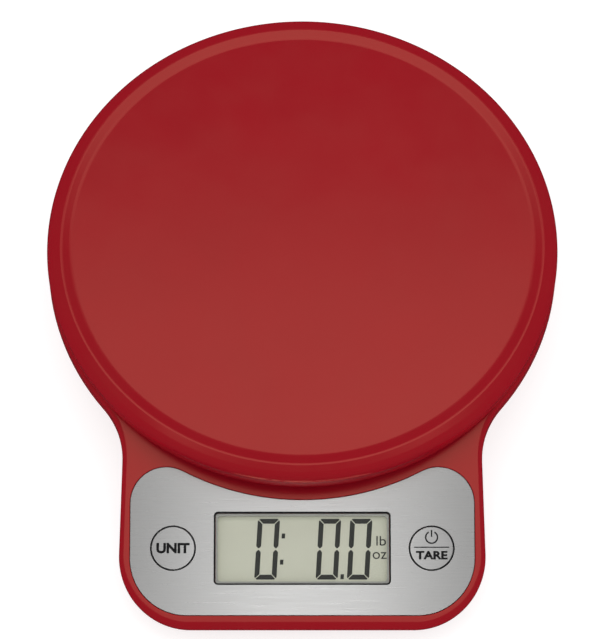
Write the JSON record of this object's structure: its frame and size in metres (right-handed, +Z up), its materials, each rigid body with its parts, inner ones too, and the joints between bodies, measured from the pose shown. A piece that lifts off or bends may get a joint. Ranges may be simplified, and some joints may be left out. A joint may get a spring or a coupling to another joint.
{
  "type": "portion scale",
  "caption": "Compact round-platform portion scale: red keyhole-shaped case, shallow round platter, tilted display lobe with a liquid-crystal display and two keys.",
  "frame": {"origin": "on the table, under the middle of the scale's overall box (the resting surface is Z = 0)", "axes": "+Z up, -Y towards the user (display side), +X to the user's right"},
  "size_m": [0.1666, 0.2082, 0.036],
  "materials": {
    "case_red": "satin-gloss injection-moulded red ABS",
    "platter_red": "satin-gloss injection-moulded red ABS",
    "underside_red": "fine spark-textured red ABS",
    "panel_metal": "satin silver sheet with a fine brushed grain along X",
    "key_metal": null,
    "window_clear": "clear acrylic window",
    "display_glass": "reflective grey-green liquid-crystal glass",
    "inner_moulding": "natural light-grey moulding",
    "contact_rubber": "striped conductive silicone",
    "circuit_board": "green solder mask on glass-epoxy",
    "black_resin": "black epoxy",
    "bar_aluminium": "machined aluminium",
    "screw_steel": "zinc-plated steel",
    "foot_rubber": "matt black rubber",
    "switch_shell": "tinned steel shell",
    "cell_jacket": "printed film jacket, plain green",
    "spring_steel": "nickel-plated spring steel",
    "lead_red": "PVC insulation",
    "lead_black": "PVC insulation",
    "lead_white": "PVC insulation"
  },
  "bodies": {
    "base": {"aaa_cell_1": "cell_jacket", "aaa_cell_2": "cell_jacket", "battery_lead_black": "lead_black", "battery_lead_red": "lead_red", "battery_spring_1": "spring_steel", "battery_spring_2": "spring_steel", "board_screw_1": "screw_steel", "board_screw_2": "screw_steel", "board_screw_3": "screw_steel", "board_screw_4": "screw_steel", "case_screw_1": "screw_steel", "case_screw_2": "screw_steel", "case_screw_3": "screw_steel", "case_screw_4": "screw_steel", "case_screw_5": "screw_steel", "case_screw_6": "screw_steel", "chip_blob": "black_resin", "circuit_board": "circuit_board", "contact_bridge": "spring_steel", "contact_negative": "spring_steel", "contact_positive": "spring_steel", "face_panel": "panel_metal", "foot_1": "foot_rubber", "foot_2": "foot_rubber", "foot_3": "foot_rubber", "foot_4": "foot_rubber", "lcd_bezel": "inner_moulding", "lcd_glass": "display_glass", "lcd_window": "window_clear", "load_cell": "bar_aluminium", "load_cell_lead": "lead_white", "load_cell_screw_1": "screw_steel", "load_cell_screw_2": "screw_steel", "load_cell_spacer": "inner_moulding", "lower_case": "underside_red", "tare_switch": "switch_shell", "unit_switch": "switch_shell", "upper_case": "case_red", "zebra_strip_back": "contact_rubber", "zebra_strip_front": "contact_rubber"},
    "platter_body": {"bracket_screw_1": "screw_steel", "bracket_screw_2": "screw_steel", "hub_screw_1": "screw_steel", "hub_screw_2": "screw_steel", "platter": "platter_red", "platter_bracket": "inner_moulding", "platter_hub": "inner_moulding", "platter_screw_1": "screw_steel", "platter_screw_2": "screw_steel", "platter_screw_3": "screw_steel", "platter_screw_4": "screw_steel"},
    "unit_key_body": {"unit_key": "key_metal", "unit_switch_stem": "black_resin"},
    "tare_key_body": {"tare_key": "key_metal", "tare_switch_stem": "black_resin"},
    "battery_door_body": {"battery_door": "underside_red"}
  },
  "joints": [
    {"name": "weighing_travel", "type": "slide", "parent": "base", "child": "platter_body", "axis": [0, 0, -1], "range_m": [0, 0.0008], "stiffness_N_per_m": 61000, "deforming": ["load_cell"]},
    {"name": "unit_key_press", "type": "slide", "parent": "base", "child": "unit_key_body", "axis": [0, 0.2079, -0.9781], "range_m": [0, 0.0004], "stiffness_N_per_m": 3500},
    {"name": "tare_key_press", "type": "slide", "parent": "base", "child": "tare_key_body", "axis": [0, 0.2079, -0.9781], "range_m": [0, 0.0004], "stiffness_N_per_m": 3500},
    {"name": "battery_door_hinge", "type": "hinge", "parent": "base", "child": "battery_door_body", "pos_m": [0, 0.04565, 0.0033], "axis": [-1, 0, 0], "range_deg": [0, 75]}
  ]
}
